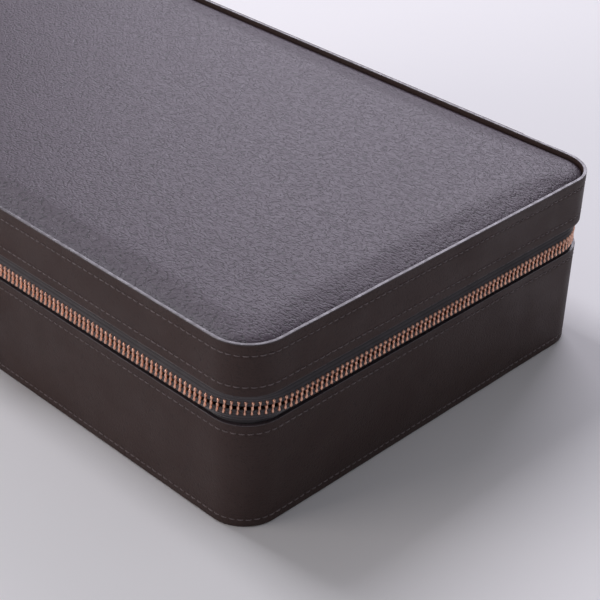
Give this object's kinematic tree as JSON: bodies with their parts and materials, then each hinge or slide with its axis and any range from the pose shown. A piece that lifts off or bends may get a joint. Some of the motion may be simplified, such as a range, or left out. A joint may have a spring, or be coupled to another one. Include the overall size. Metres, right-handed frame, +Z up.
{
  "type": "leather jewellery case",
  "caption": "Rectangular zip-around leather jewellery case with a padded hinged lid, ring rolls and lined compartments.",
  "frame": {"origin": "middle of the underside of the base, on the surface that the case stands on", "axes": "+X along the long side to the right as seen from the front, +Y towards the hinge at the back, +Z up"},
  "size_m": [0.3238, 0.2096, 0.0799],
  "materials": {
    "band_leather": "dark brown smooth leather with a fine grain",
    "panel_leather": "padded pebble-grained leather with a cool sheen",
    "greyboard": "plain greyboard, hidden under leather and lining",
    "foam": "polyurethane foam, hidden under the lid panel",
    "suede_lining": "short-nap suede-look lining",
    "zip_tape": "woven zip tape, near black",
    "copper_metal": "polished rose-copper plating"
  },
  "bodies": {
    "base": {"bottom_panel": "band_leather", "base_side_band": "band_leather", "base_floor_board": "greyboard", "base_wall_board": "greyboard", "base_floor_pad": "suede_lining", "base_lining_wall": "suede_lining", "section_divider": "suede_lining", "long_divider": "suede_lining", "cross_divider_front_1": "suede_lining", "cross_divider_back_1": "suede_lining", "cross_divider_front_2": "suede_lining", "cross_divider_back_2": "suede_lining", "ring_roll_1": "suede_lining", "ring_roll_2": "suede_lining", "ring_roll_3": "suede_lining", "ring_roll_4": "suede_lining", "ring_roll_5": "suede_lining", "ring_roll_6": "suede_lining", "ring_roll_7": "suede_lining", "ring_roll_8": "suede_lining", "zip_teeth_lower": "copper_metal", "zip_tape_lower": "zip_tape", "spine_base": "band_leather"},
    "lid": {"lid_side_band": "band_leather", "lid_wall_board": "greyboard", "lid_top_board": "greyboard", "lid_foam": "foam", "lid_top_panel": "panel_leather", "lid_lining_wall": "suede_lining", "lid_lining_pad": "suede_lining", "zip_teeth_upper": "copper_metal", "zip_tape_upper": "zip_tape", "spine_lid": "band_leather"},
    "slider_right": {"slider_body_right": "copper_metal", "slider_bridge_right": "copper_metal"},
    "slider_left": {"slider_body_left": "copper_metal", "slider_bridge_left": "copper_metal"},
    "pull_right": {"pull_tab_right": "copper_metal"},
    "pull_left": {"pull_tab_left": "copper_metal"}
  },
  "joints": [
    {"name": "lid_hinge", "type": "hinge", "parent": "base", "child": "lid", "pos_m": [0, 0.102, 0.05175], "axis": [-1, 0, 0], "range_deg": [0, 170]},
    {"name": "slider_right_run", "type": "slide", "parent": "base", "child": "slider_right", "axis": [1, 0, 0], "range_m": [0, 0.118]},
    {"name": "slider_left_run", "type": "slide", "parent": "base", "child": "slider_left", "axis": [-1, 0, 0], "range_m": [0, 0.118]},
    {"name": "pull_right_swing", "type": "hinge", "parent": "slider_right", "child": "pull_right", "pos_m": [0.011, -0.105, 0.05175], "axis": [0, -1, 0], "range_deg": [-12, 180]},
    {"name": "pull_left_swing", "type": "hinge", "parent": "slider_left", "child": "pull_left", "pos_m": [-0.011, -0.105, 0.05175], "axis": [0, 1, 0], "range_deg": [-12, 180]}
  ]
}
